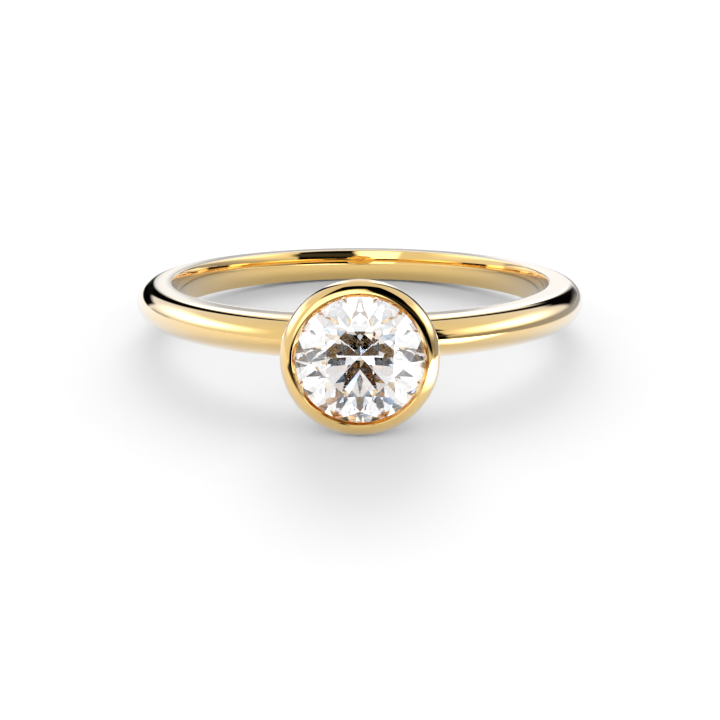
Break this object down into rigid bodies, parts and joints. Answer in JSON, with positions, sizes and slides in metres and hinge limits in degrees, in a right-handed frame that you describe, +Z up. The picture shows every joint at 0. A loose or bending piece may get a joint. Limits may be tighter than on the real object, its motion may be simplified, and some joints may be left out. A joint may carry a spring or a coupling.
{
  "type": "bezel set ring",
  "caption": "Finger ring lying on its side: slim half-round yellow gold shank with a round brilliant-cut clear stone in a plain tapered bezel.",
  "frame": {"origin": "centre of the footprint on the surface that the ring lies on", "axes": "+Z up from that surface, -Y the way the stone looks, X across the ring and square to its plane of symmetry"},
  "size_m": [0.0204, 0.0236, 0.0056],
  "materials": {
    "yellow_gold": "mirror-polished 18 carat yellow gold",
    "clear_stone": "polished facets, colourless"
  },
  "bodies": {
    "root": {"band_and_bezel": "yellow_gold", "round_stone": "clear_stone"}
  },
  "joints": []
}
